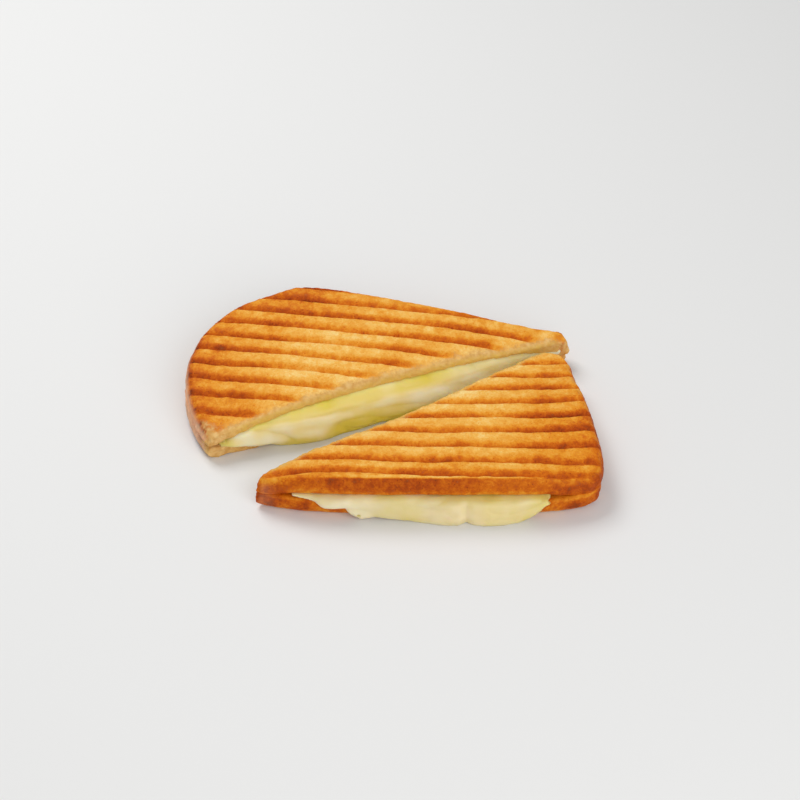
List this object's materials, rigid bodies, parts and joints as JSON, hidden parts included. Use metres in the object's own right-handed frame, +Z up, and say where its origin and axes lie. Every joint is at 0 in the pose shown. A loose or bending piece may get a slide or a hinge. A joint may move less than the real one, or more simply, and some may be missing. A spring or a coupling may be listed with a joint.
{
  "type": "grilled cheese sandwich",
  "caption": "Pressed toasted sandwich with grill ridges, cut from corner to corner and opened like a fan, melted cheese running out of the cut and the front edge.",
  "frame": {"origin": "middle of the footprint, at the height of the underside", "axes": "+X along the front half's grill ridges, towards the square end where the halves meet; +Y from the front half to the back half; +Z up"},
  "size_m": [0.1836, 0.1362, 0.0213],
  "materials": {
    "toasted_bread": "matte, golden crests and browner grooves, pale crumb at the cuts",
    "melted_cheese": "smooth and soft, slightly glossy"
  },
  "bodies": {
    "root": {"front_half_lower_bread": "toasted_bread", "front_half_cheese": "melted_cheese", "front_half_upper_bread": "toasted_bread", "back_half_lower_bread": "toasted_bread", "back_half_cheese": "melted_cheese", "back_half_upper_bread": "toasted_bread"}
  },
  "joints": []
}
